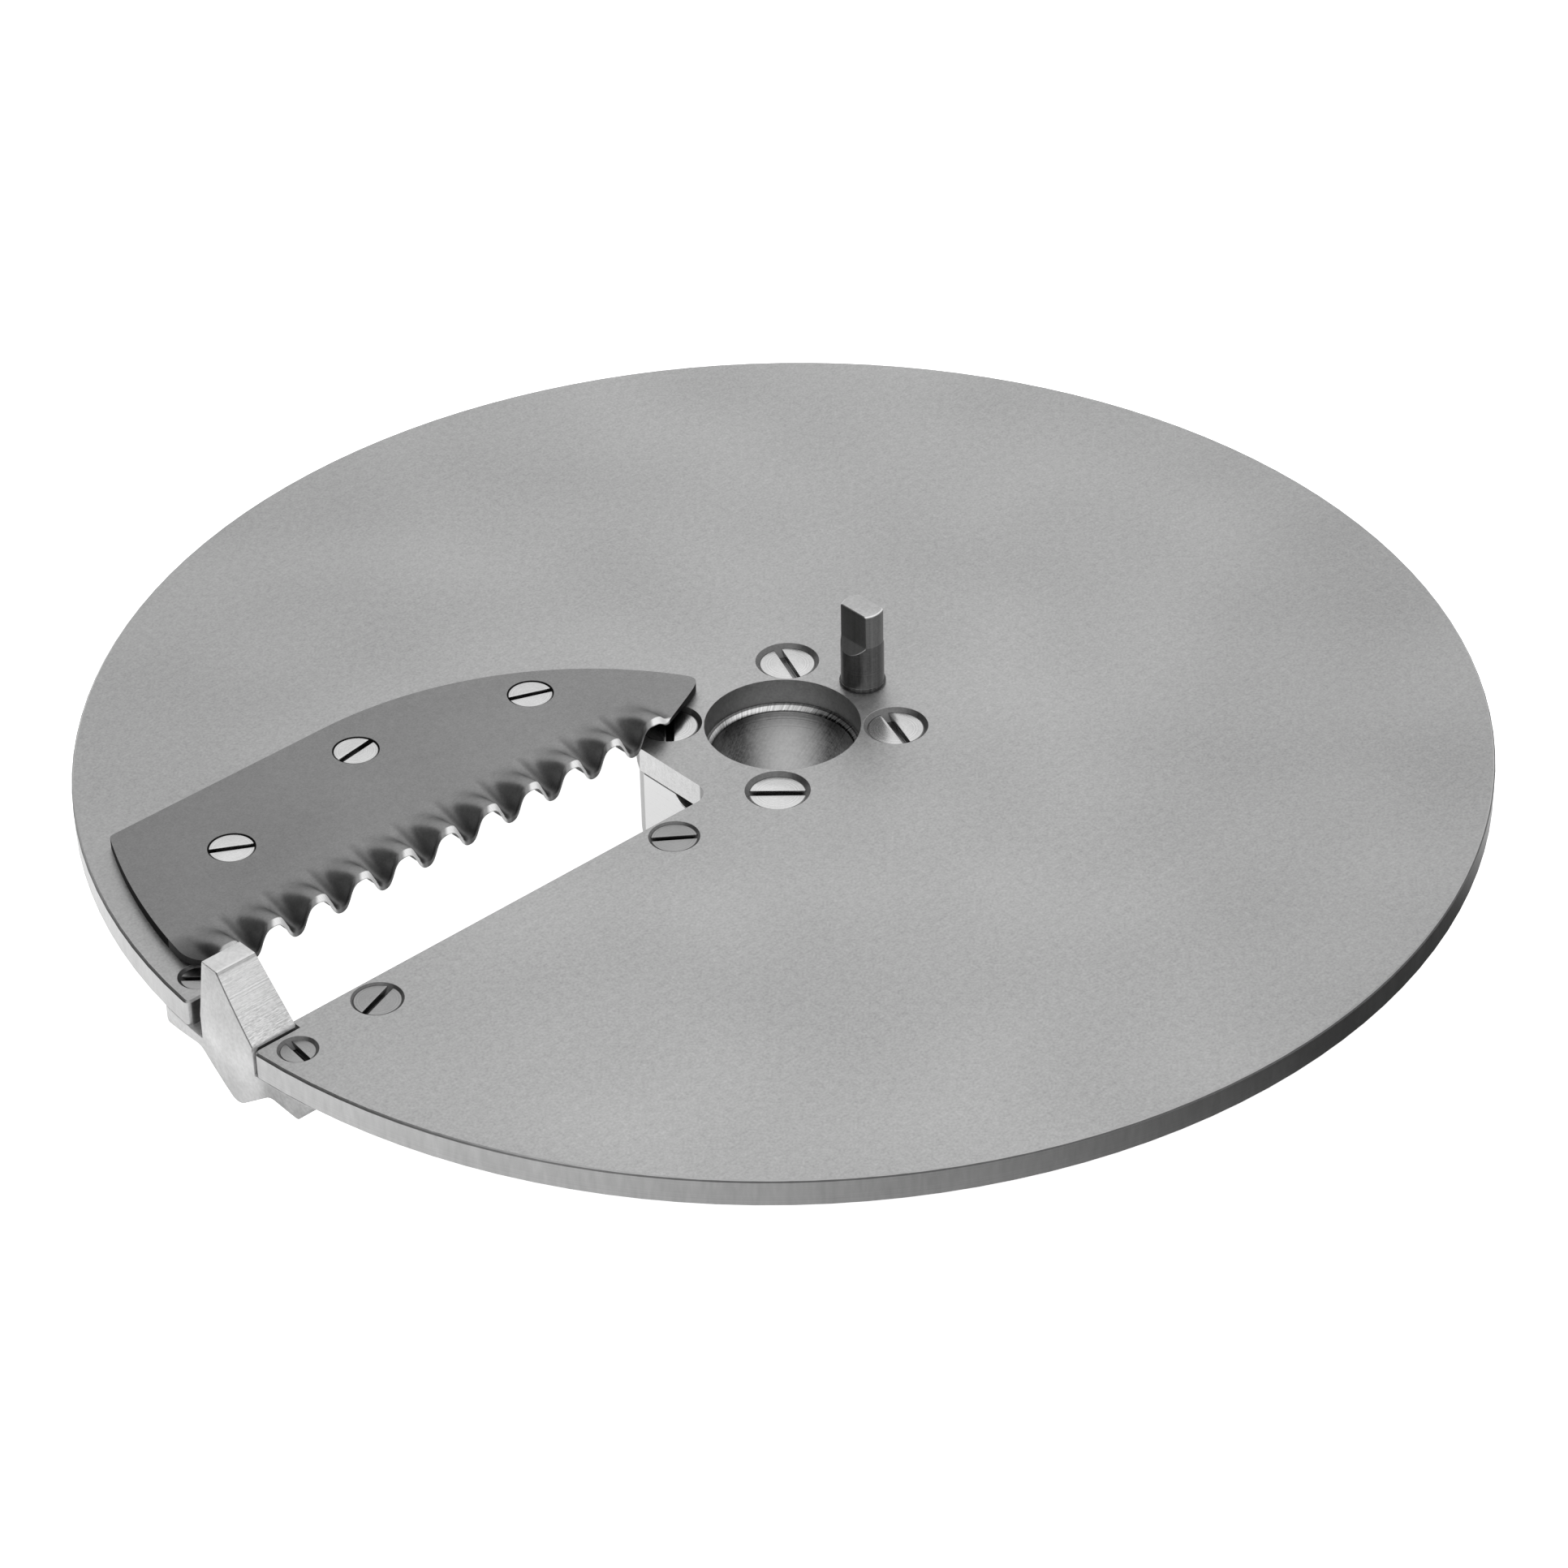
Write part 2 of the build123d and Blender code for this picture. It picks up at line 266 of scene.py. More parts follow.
def break_edges(piece, width, degrees, segments=2):
    """Give a piece's sharp edges a small round."""
    edge_break = piece.modifiers.new("edge_break", "BEVEL")
    edge_break.width = width
    edge_break.segments = segments
    edge_break.limit_method = "ANGLE"
    edge_break.angle_limit = math.radians(degrees)
    edge_break.use_clamp_overlap = False
    edge_break.miter_outer = "MITER_ARC"
    settled(piece)


def merged_copy(node, name):
    """A closed copy of a CAD node's mesh, with its flat faces whole again."""
    shape = bmesh.new()
    shape.from_mesh(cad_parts[node].data)
    bmesh.ops.remove_doubles(shape, verts=shape.verts, dist=0.0005 * mm)
    bmesh.ops.dissolve_limit(
        shape,
        angle_limit=math.radians(0.5),
        verts=shape.verts,
        edges=shape.edges,
    )
    mesh = bpy.data.meshes.new(name)
    shape.to_mesh(mesh)
    shape.free()
    return show(name, mesh)


def stand_for(piece, node, material):
    """Let a piece take a CAD node's place, with its own finish."""
    piece.data.materials.clear()
    piece.data.materials.append(material)
    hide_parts(node)
    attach(piece, "root")


def dress(node, material):
    """Give a CAD node that stays in view its finish."""
    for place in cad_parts[node].material_slots:
        place.material = material


# The photograph's camera, and what lies sideways in its view

LENS_PLACE = Vector((432.64, 482.19, 451.02)) * mm
LENS_RIGHT = Vector((-0.73617478, 0.67658652, -0.01665455))
LENS_DOWN = Vector((0.40334678, 0.41884406, -0.81356071))
LENS_AHEAD = Vector((-0.54346855, -0.60564044, -0.58124143))
LENS_LENGTH = 113.97


def towards_right(x, y):
    """How far a spot lies to the right of the disc's middle in the camera's view."""
    return x * LENS_RIGHT.x + y * LENS_RIGHT.y


# Wavy blade

BLADE = {
    "Edge line": -10.2 * mm,
    "Back line": -47.8 * mm,
    "Fold line": -20.4 * mm,
    "Back radius": 60.0 * mm,
    "Back centre": 55.0 * mm,
    "Side radius": 108.0 * mm,
    "Front corner": 6.0 * mm,
    "Back corner": 1.0 * mm,
    "End at edge": 16.4 * mm,
    "End slope": math.tan(math.radians(24.7)),
    "Tip round": 7.0 * mm,
    "Sheet": 1.8 * mm,
    "Thinning": 7.5 * mm,
    "Edge thickness": 0.15 * mm,
    "Bevel drop": 0.35 * mm,
    "Bevel width": 0.35 * mm,
    "Crest bevel": 1.25 * mm,
    "Wave pitch": 8.4 * mm,
    "Wave height": 1.95 * mm,
    "Full wave line": -11.6 * mm,
    "Wave squareness": 1.4,
    "Ridge shift": 0.7 * mm,
    "Shift length": 1.3 * mm,
    "Crest share": 0.2,
    "First crest": 18.2 * mm,
    "Last crest": 102.2 * mm,
    "Hole": 4.04 * mm,
    "Countersink": 7.6 * mm,
    "Columns": 480,
    "Rows": 70,
}
blade_screw_spots = [(25.0, -32.4), (55.0, -39.5), (85.0, -32.4)]


def rounded_side(y, side_radius, corner_radius, corner_line):
    """Where the round outer side is at a given y, with a corner round towards the corner line."""
    inside = side_radius - corner_radius
    centre = (inside.squared() - corner_line.squared()).root()
    reach = (corner_radius.squared() - (y - corner_line).squared()).at_least(0.0).root()
    return centre + reach


def squared_off(cosine, squareness, crest_share):
    """A wave from -1 to 1 with flatter crests and dips than a cosine, and steeper flanks."""
    low = ((crest_share - 1.0) * squareness).math("TANH")
    high = ((crest_share + 1.0) * squareness).math("TANH")
    value = ((cosine + crest_share) * squareness).math("TANH")
    return (value - low) * 2.0 / (high - low) - 1.0


def countersink_cutter(tree, given):
    """A cone and a cylinder that open one screw hole from the blade's top."""
    sink = Flow(tree, given["Countersink"])
    hole = Flow(tree, given["Hole"])
    sheet = Flow(tree, given["Sheet"])
    depth = (sink - hole) * 0.5
    lift = depth * 0.5
    cone = add_node(
        tree,
        "GeometryNodeMeshCone",
        Vertices=96,
        Radius_Top=sink * 0.5 + lift,
        Radius_Bottom=hole * 0.5,
        Depth=depth + lift,
    )
    lowered = add_node(
        tree,
        "GeometryNodeTransform",
        Geometry=cone.outputs["Mesh"],
        Translation=vector(tree, z=sheet - depth),
    )
    drill = add_node(
        tree,
        "GeometryNodeMeshCylinder",
        Vertices=96,
        Radius=hole * 0.5,
        Depth=sheet * 3.0,
    )
    return [lowered.outputs["Geometry"], drill.outputs["Mesh"]]


def flat_slab(tree, given):
    """A closed slab of 1 by 1 by 1 with the given columns and rows of points."""
    grid = add_node(
        tree, "GeometryNodeMeshGrid", Vertices_X=given["Columns"], Vertices_Y=given["Rows"]
    )
    square = add_node(
        tree,
        "GeometryNodeTransform",
        Geometry=grid.outputs["Mesh"],
        Translation=(0.5, 0.5, 0.0),
    )
    underside = add_node(tree, "GeometryNodeFlipFaces", Mesh=square.outputs["Geometry"])
    raised = add_node(
        tree,
        "GeometryNodeExtrudeMesh",
        Mesh=square.outputs["Geometry"],
        Offset_Scale=1.0,
        Individual=False,
    )
    return closed_up(tree, 0.0001, underside.outputs["Mesh"], raised.outputs["Mesh"])


def row_line(size, along):
    """The y of a row of points. Rows crowd together at the blade's back and at its edge."""
    rear_share = 0.45
    edge_crowding = 1.6
    to_fold = (along / rear_share).clamped()
    to_edge = ((1.0 - along) / (1.0 - rear_share)).clamped()
    return (
        size["Back line"]
        + (size["Fold line"] - size["Back line"]) * to_fold.squared()
        + (size["Edge line"] - size["Fold line"]) * (1.0 - to_edge.power(edge_crowding))
    )


def blade_ends(size, y):
    """The x of the blade's inner end and of its round outer side, at a given y."""
    arc_line = size["Back line"] + size["Back radius"]
    arc = size["Back centre"] - (
        size["Back radius"].squared() - (y - arc_line).squared()
    ).at_least(0.0).root()
    end = size["End at edge"] + (y - size["Edge line"]) / size["End slope"]
    inner = arc.math("SMOOTH_MAX", end, size["Tip round"])
    side = size["Side radius"]
    front_line = size["Edge line"] - size["Front corner"]
    back_line = size["Back line"] + size["Back corner"]
    in_front = y.math("GREATER_THAN", front_line * side / (side - size["Front corner"]))
    at_back = y.math("LESS_THAN", back_line * side / (side - size["Back corner"]))
    plain_side = (side.squared() - y.squared()).root()
    front_side = rounded_side(y, side, size["Front corner"], front_line)
    back_side = rounded_side(y, side, size["Back corner"], back_line)
    outer = (
        plain_side
        + (front_side - plain_side) * in_front
        + (back_side - plain_side) * at_back
    )
    return inner, outer


def blade_wave(size, x, y):
    """The wave at a spot, how far it has risen there, and where the spot lies along it."""
    behind_edge = 1.0 - y.ramp(size["Edge line"] - size["Shift length"], size["Edge line"])
    station = x + size["Ridge shift"] * behind_edge
    turn = (station - size["First crest"]) * (2 * math.pi) / size["Wave pitch"]
    inner_end = size["First crest"] - size["Wave pitch"] * 0.5
    outer_end = size["Last crest"] + size["Wave pitch"] * 0.5
    past_inner = station.math("GREATER_THAN", inner_end)
    past_first = station.math("GREATER_THAN", size["First crest"])
    inside_ends = past_inner * station.math("LESS_THAN", outer_end)
    between_crests = past_first * station.math("LESS_THAN", size["Last crest"])
    cosine = turn.math("COSINE")
    rise = y.ramp(size["Fold line"], size["Full wave line"])
    squared = squared_off(cosine, size["Wave squareness"], size["Crest share"])
    full_wave = cosine + (squared - cosine) * rise
    run_out = (full_wave + 1.0) * 0.5 * inside_ends
    return SimpleNamespace(
        wave=run_out + (full_wave - run_out) * between_crests,
        rise=rise,
        slant=turn.math("SINE"),
        inside_ends=inside_ends,
        between_crests=between_crests,
        past_last=(station - size["Last crest"]) / size["Wave pitch"],
    )


def sheet_levels(size, y, spot):
    """The sheet's underside and top before it is waved, and where its ground bevel starts.

    The bevel is wide on each crest and on the flank beyond it, seen from the camera.
    """
    crest = spot.wave.at_least(0.0).squared() * 0.6
    far_flank = spot.wave.ramp(-0.95, -0.1) * (1.0 - spot.wave.ramp(0.3, 1.0) * 0.4)
    widening = crest + (far_flank - crest) * spot.slant.ramp(0.0, -0.2, smooth=False)
    bevel_start = size["Edge line"] - size["Bevel width"] - size["Crest bevel"] * widening
    lowered = y.ramp(bevel_start, size["Edge line"], smooth=False)
    top = size["Sheet"] - size["Bevel drop"] * lowered
    thin_start = size["Edge line"] - size["Thinning"]
    hollow = size["Sheet"] - size["Bevel drop"] - size["Edge thickness"]
    bottom = hollow * y.ramp(thin_start, size["Edge line"], smooth=False)
    return bottom, top, bevel_start


def ground_and_highlight_share(size, y, level, spot, bevel_start):
    """1 on the bright ground bevel and on the thin edge below it, 0 on plain sheet. Part of it is a
    painted highlight: it is left off each crest's near flank and dimmed at the last crest.
    """
    near_flank = spot.slant.ramp(-0.2, 0.4) * spot.between_crests
    top_or_edge = level.at_least(y.ramp(size["Edge line"] - 0.02 * mm, size["Edge line"]))
    ground = y.ramp(bevel_start - 0.1 * mm, bevel_start + 0.05 * mm) * top_or_edge
    ground = ground * (1.0 - near_flank)
    return ground * spot.wave.ramp(-0.98, -0.7) * (1.0 - spot.past_last.ramp(-0.3, 0.0) * 0.6)


def flute_shade_share(size, y, spot):
    """How much painted shade darkens the sheet in its flutes, less on their steep near flanks and far
    flanks, and in the hollow past the last crest.
    """
    to_near_flank = spot.slant.ramp(-0.3, 0.3)
    hollow_top = 0.05 - (1.0 - to_near_flank) * (0.95 - spot.rise * 1.75)
    flute = (1.0 - spot.wave.ramp(hollow_top - 0.7, hollow_top)) * spot.inside_ends
    near_edge = y.ramp(size["Edge line"] - size["Shift length"] * 2.0, size["Edge line"])
    steep_near_flank = spot.slant.ramp(0.45, 0.95)
    far_flank = (-spot.slant).ramp(-0.3, 0.25)
    shade_depth = 0.85 - steep_near_flank * 0.52 - far_flank * 0.55
    shade_depth = shade_depth * (1.0 - near_edge * 0.25)
    last_hollow_shade = spot.past_last.band(0.12, 0.95, 0.23, 0.35) * 0.7
    return spot.rise.power(0.4) * (flute * shade_depth).at_least(last_hollow_shade)


def marked(tree, geometry, shares):
    """A geometry that carries shares on its points, for its finish to read by name."""
    for label, share in shares.items():
        carried = add_node(
            tree,
            "GeometryNodeStoreNamedAttribute",
            {"data_type": "FLOAT", "domain": "POINT"},
            Geometry=geometry,
            Name=label,
            Value=share,
        )
        geometry = carried.outputs["Geometry"]
    return geometry


def blade_sheet_tree():
    """A slab of sheet that takes the blade's outline, wave, thinning, bevel and screw holes."""
    screw_spots = [f"Screw spot {number + 1}" for number in range(len(blade_screw_spots))]
    tree, given, result, size = new_growth(
        "blade_sheet", BLADE, dict.fromkeys(screw_spots, "NodeSocketVector")
    )
    place = add_node(tree, "GeometryNodeInputPosition").outputs[0]
    across, along, level = xyz(tree, place)
    y = row_line(size, along)
    inner, outer = blade_ends(size, y)
    x = inner + (outer - inner) * across
    spot = blade_wave(size, x, y)
    bottom, top, bevel_start = sheet_levels(size, y, spot)
    z = size["Wave height"] * spot.wave * spot.rise + bottom + (top - bottom) * level
    shares = {
        "ground": ground_and_highlight_share(size, y, level, spot, bevel_start),
        "flute_shade": flute_shade_share(size, y, spot),
    }
    shaped = add_node(
        tree,
        "GeometryNodeSetPosition",
        Geometry=marked(tree, flat_slab(tree, given), shares),
        Position=vector(tree, x, y, z),
    )
    body = shaped.outputs["Geometry"]
    for cutter in countersink_cutter(tree, given):
        for screw_spot in screw_spots:
            placed = add_node(
                tree, "GeometryNodeTransform", Geometry=cutter, Translation=given[screw_spot]
            )
            body = cut_away(tree, body, placed.outputs["Geometry"])
    give_out(tree, body, given, result)
    return tree


def make_blade(finish):
    """The blade with its wave, in place of the CAD blade."""
    sizes = dict(BLADE, Finish=finish)
    for number, (x, y) in enumerate(blade_screw_spots, start=1):
        sizes[f"Screw spot {number}"] = (x * mm, y * mm, 0.0)
    blade = grown("blade_sheet", blade_sheet_tree(), sizes)
    smooth_between_edges(blade, 35)
    stand_for(blade, "waffle_blade", finish)


# Slotted screws

SCREW = {
    "Head": 8.0 * mm,
    "Thread": 4.0 * mm,
    "Length": 8.0 * mm,
    "Driver slot": 1.0 * mm,
    "Slot depth": 1.1 * mm,
    "Head break": 0.1 * mm,
    "Turn": 0.0,
    "Sides": 96,
}


def turned_screw(tree, given, size):
    """A closed screw, stepped out of the face of its head: edge break, cone and shank."""
    head_radius = size["Head"] * 0.5
    flat_radius = head_radius - size["Head break"]
    cone_depth = (size["Head"] - size["Thread"]) * 0.5
    face = add_node(
        tree,
        "GeometryNodeMeshCircle",
        {"fill_type": "NGON"},
        Vertices=given["Sides"],
        Radius=flat_radius,
    )
    turned = add_node(tree, "GeometryNodeFlipFaces", Mesh=face.outputs["Mesh"]).outputs["Mesh"]
    steps = [
        (size["Head break"], head_radius / flat_radius),
        (cone_depth - size["Head break"], size["Thread"] / size["Head"]),
        (size["Length"] - cone_depth, None),
    ]
    chosen = None
    for depth, widening in steps:
        stepped = add_node(
            tree,
            "GeometryNodeExtrudeMesh",
            Mesh=turned,
            Offset_Scale=depth,
            Individual=False,
        )
        if chosen is not None:
            tree.links.new(chosen, stepped.inputs["Selection"])
        turned, chosen = stepped.outputs["Mesh"], stepped.outputs["Top"]
        if widening is not None:
            scaled = add_node(
                tree,
                "GeometryNodeScaleElements",
                Geometry=turned,
                Selection=chosen,
                Scale=widening,
            )
            turned = scaled.outputs["Geometry"]
    return closed_up(tree, 0.0005 * mm, turned, face.outputs["Mesh"])


def screw_tree():
    """A countersunk screw, turned step by step from its head down, then slotted."""
    tree, given, result, size = new_growth("slotted_screw", SCREW, {"Spot": "NodeSocketVector"})
    saw = add_node(
        tree,
        "GeometryNodeMeshCube",
        Size=vector(tree, size["Head"] * 1.2, size["Driver slot"], size["Slot depth"] * 2.0),
    )
    placed = add_node(
        tree,
        "GeometryNodeTransform",
        Geometry=cut_away(tree, turned_screw(tree, given, size), saw.outputs["Mesh"]),
        Translation=given["Spot"],
        Rotation=vector(tree, z=size["Turn"]),
    )
    give_out(tree, placed.outputs["Geometry"], given, result)
    return tree


def carry_axis(screw, middle, head_radius):
    """Let a screw's finish read how far each spot lies from the screw's own axis."""
    marks = screw.data.attributes
    marks.new("from_axis", "FLOAT_VECTOR", "POINT")
    marks.new("head_radius", "FLOAT", "POINT")
    for vertex, offset, radius in zip(
        screw.data.vertices, marks["from_axis"].data, marks["head_radius"].data
    ):
        offset.vector = vertex.co - middle
        radius.value = head_radius


def make_screws(finishes):
    """Every screw in place of its CAD node, its head's edge broken and its driver slot cut."""
    tree = screw_tree()
    # The finish, then head, thread, length and driver slot in millimetres, and turns in degrees
    kinds = {
        "hub_screw": ("bright_steel", 9.16, 5.0, 15.0, 1.3, (137, 70, 68, 48)),
        "plate_screw": ("grey_steel", 7.46, 4.0, 8.0, 1.0, (143, 19)),
        "rim_screw": ("grey_steel", 5.46, 3.0, 6.0, 1.0, (138, 84)),
        "blade_screw": ("bright_steel", 7.26, 4.0, 6.0, 1.0, (158, 8, 150)),
    }
    for kind, (slot, head, thread, length, driver_slot, turns) in kinds.items():
        sizes = {
            "Head": head * mm,
            "Thread": thread * mm,
            "Length": length * mm,
            "Driver slot": driver_slot * mm,
            "Finish": finishes[slot],
        }
        for number, turn in enumerate(turns, start=1):
            node = f"{kind}_{number}"
            low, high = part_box(node)
            spot = Vector(((low.x + high.x) / 2, (low.y + high.y) / 2, high.z))
            placing = {"Turn": math.radians(turn), "Spot": spot}
            screw = grown(f"{node}_turned", tree, SCREW | sizes | placing)
            break_edges(screw, 0.06 * mm, 40)
            smooth_between_edges(screw, 30)
            carry_axis(screw, spot, head * mm / 2)
            stand_for(screw, node, finishes[slot])


# Places on the part that the finishes tell apart

rim_radius = 112.5 * mm
plate_bore = 12.5 * mm
plate_underside = -4.4 * mm
slot_end_line = 20.75 * mm
slot_end_back = -31.9 * mm
slot_end_front = 5.0 * mm
notch_side = 7.95 * mm
notch_end = 103.5 * mm
blade_edge_start = 14.0 * mm
hub_bore = 11.5 * mm
lead_in_foot = -5.4 * mm
pin_line = -17.5 * mm
pin_flat = 2.0 * mm
pin_ledge = 8.4 * mm
pin_top = 14.5 * mm
pin_collar_top = 0.7 * mm
post_side = 7.7 * mm
post_top = 9.2 * mm
post_lean = 1.2 * mm
slope_reach = 8.2 * mm

# Screw sinks, in millimetres: x, y, the level of the face and the sink's reach
BLADE_SINKS = [(x, y, 1.8, 3.85) for x, y in blade_screw_spots]
PLATE_SINKS = [
    (12.73, 12.73, 0.0, 5.25),
    (-12.73, 12.73, 0.0, 5.25),
    (-12.73, -12.73, 0.0, 5.25),
    (12.73, -12.73, 0.0, 5.25),
    (32.5, 10.7, 0.0, 4.1),
    (91.1, 10.7, 0.0, 4.1),
    (107.0, 12.0, 0.0, 3.2),
    (107.0, -12.0, 0.0, 3.2),
]


# Finishes


def surface_group(name, inputs, outputs):
    """A shader node group that hands out masks and values which change over a surface."""
    return new_tree(name, "ShaderNodeTree", inputs, outputs)


def fine_grain_group():
    """The even, random grain of blasted or tumbled steel, with faint clouds in its tone."""
    tree, given, result = surface_group(
        "fine_grain",
        {
            "Place": ("NodeSocketVector", None),
            "Grain": ("NodeSocketFloat", 0.25 * mm),
            "Clouds": ("NodeSocketFloat", 40.0 * mm),
        },
        {"Height": "NodeSocketFloat", "Tone": "NodeSocketFloat", "Cloud": "NodeSocketFloat"},
    )
    grain = Flow(tree, given["Grain"])
    fine = add_node(tree, "ShaderNodeTexNoise", Vector=given["Place"], Detail=2.0)
    tree.links.new(grain.math("POWER", -1.0).socket, fine.inputs["Scale"])
    coarse = add_node(tree, "ShaderNodeTexNoise", Vector=given["Place"], Detail=3.0)
    tree.links.new((grain * 3.1).math("POWER", -1.0).socket, coarse.inputs["Scale"])
    cloud = add_node(tree, "ShaderNodeTexNoise", Vector=given["Place"], Detail=1.0)
    tree.links.new(Flow(tree, given["Clouds"]).math("POWER", -1.0).socket, cloud.inputs["Scale"])
    fine_value = Flow(tree, fine.outputs["Fac"])
    coarse_value = Flow(tree, coarse.outputs["Fac"])
    feed(tree, fine_value * 0.7 + coarse_value * 0.3, result["Height"])
    feed(tree, (fine_value - 0.5) * 1.4 + (coarse_value - 0.5) * 0.8, result["Tone"])
    feed(tree, (Flow(tree, cloud.outputs["Fac"]) - 0.5) * 2.0, result["Cloud"])
    return tree


def tool_marks_group():
    """Fine lines that a lathe or a mill leaves, one after another along a given way."""
    tree, given, result = surface_group(
        "tool_marks",
        {
            "Way": ("NodeSocketFloat", 0.0),
            "Pitch": ("NodeSocketFloat", 0.2 * mm),
        },
        {"Height": "NodeSocketFloat", "Tone": "NodeSocketFloat"},
    )
    way = Flow(tree, given["Way"]) / Flow(tree, given["Pitch"])
    lines = add_node(tree, "ShaderNodeTexNoise", {"noise_dimensions": "1D"}, Detail=2.0, Scale=1.0)
    tree.links.new(way.socket, lines.inputs["W"])
    value = Flow(tree, lines.outputs["Fac"])
    feed(tree, value, result["Height"])
    feed(tree, (value - 0.5) * 2.0, result["Tone"])
    return tree


def from_axis(x, y):
    """How far a spot is from the upright axis where x and y are 0."""
    return (x.squared() + y.squared()).root()


def sunk_group():
    """1 on what lies a little below a face and within reach of a spot."""
    tree, given, result = surface_group(
        "sunk",
        {
            "Place": ("NodeSocketVector", None),
            "Spot": ("NodeSocketVector", None),
            "Reach": ("NodeSocketFloat", 5.0 * mm),
        },
        {"Sunk": "NodeSocketFloat"},
    )
    away = add_node(tree, "ShaderNodeVectorMath", {"operation": "SUBTRACT"})
    tree.links.new(given["Place"], away.inputs[0])
    tree.links.new(given["Spot"], away.inputs[1])
    x, y, z = xyz(tree, away.outputs[0])
    near = from_axis(x, y)
    reach = Flow(tree, given["Reach"])
    below = (-z).ramp(0.02 * mm, 0.06 * mm, smooth=False)
    feed(tree, (1.0 - near.ramp(reach, reach + 0.02 * mm, smooth=False)) * below, result["Sunk"])
    return tree


def all_sunk(tree, place, sunk, spots):
    """1 in every countersink of a list that gives each one's place, face level and reach."""
    total = 0.0
    for x, y, level, reach in spots:
        spot = (x * mm, y * mm, level * mm)
        total = place_group(tree, sunk, Place=place, Spot=spot, Reach=reach * mm)["Sunk"] + total
    return total.clamped()


def place_group(tree, group, **slots):
    """Use a node group in a material, with this material's own values."""
    node = tree.nodes.new("ShaderNodeGroup")
    node.node_tree = group
    for name, value in slots.items():
        feed(tree, value, node.inputs[name])
    return {socket.name: Flow(tree, socket) for socket in node.outputs}


def metal(name, roughness_base):
    """A bare metal, and its tree, its shader and its place on the object."""
    material = bpy.data.materials.new(name)
    material.use_nodes = True
    tree = material.node_tree
    shader = tree.nodes["Principled BSDF"]
    shader.inputs["Metallic"].default_value = 1.0
    shader.inputs["Roughness"].default_value = roughness_base
    place = tree.nodes.new("ShaderNodeTexCoord").outputs["Object"]
    return material, tree, shader, place


def stored(tree, name):
    """A number that a piece carries on its own mesh."""
    return Flow(tree, add_node(tree, "ShaderNodeAttribute", {"attribute_name": name}).outputs["Fac"])


def painted_side_shade(x, y, share):
    """Painted shade: a little less brightness out towards the left and right sides, seen from the
    camera.
    """
    return 1.0 - towards_right(x, y).math("ABSOLUTE").ramp(30 * mm, 115 * mm) * share


def neutral(tree, level):
    """A grey of a given level."""
    return add_node(tree, "ShaderNodeCombineColor", Red=level, Green=level, Blue=level).outputs[0]


def grey(tree, tone):
    """A grey of a given brightness, kept short of full black and full white."""
    return neutral(tree, tone.at_least(0.01).at_most(0.95))


def relief(tree, shader, height, depth):
    """Let a height pattern roughen a surface by a real depth."""
    bump = add_node(tree, "ShaderNodeBump", Distance=depth, Strength=1.0, Height=height)
    tree.links.new(bump.outputs["Normal"], shader.inputs["Normal"])


def finish_with(tree, shader, tone, roughness, height, depth):
    """A grey tone, a roughness and a relief for a metal."""
    feed(tree, grey(tree, tone), shader.inputs["Base Color"])
    feed(tree, roughness, shader.inputs["Roughness"])
    relief(tree, shader, height, depth)


def slot_end_share(x, y, z):
    """1 on the milled end wall of the slot."""
    wall = x.band(slot_end_line - 0.05 * mm, slot_end_line + 0.05 * mm, 0.04 * mm, 0.04 * mm)
    below_top = z.band(plate_underside + 0.02 * mm, -0.01 * mm, 0.03 * mm, 0.02 * mm)
    along_slot = y.band(slot_end_back - 0.1 * mm, slot_end_front + 0.1 * mm, 0.1 * mm, 0.1 * mm)
    return wall * below_top * along_slot


def notch_shadow_share(x, y, z, radius):
    """1 on the walls of the rim notch, which lie in the post's shadow, less at the rim."""
    between_sides = 1.0 - y.math("ABSOLUTE").ramp(notch_side - 0.02 * mm, notch_side + 0.01 * mm)
    from_end = x.ramp(notch_end - 0.2 * mm, notch_end)
    below_top = 1.0 - z.ramp(-0.06 * mm, -0.03 * mm)
    at_rim = radius.ramp(rim_radius - 1.3 * mm, rim_radius - 0.7 * mm)
    return between_sides * from_end * below_top * (1.0 - at_rim * 0.5)


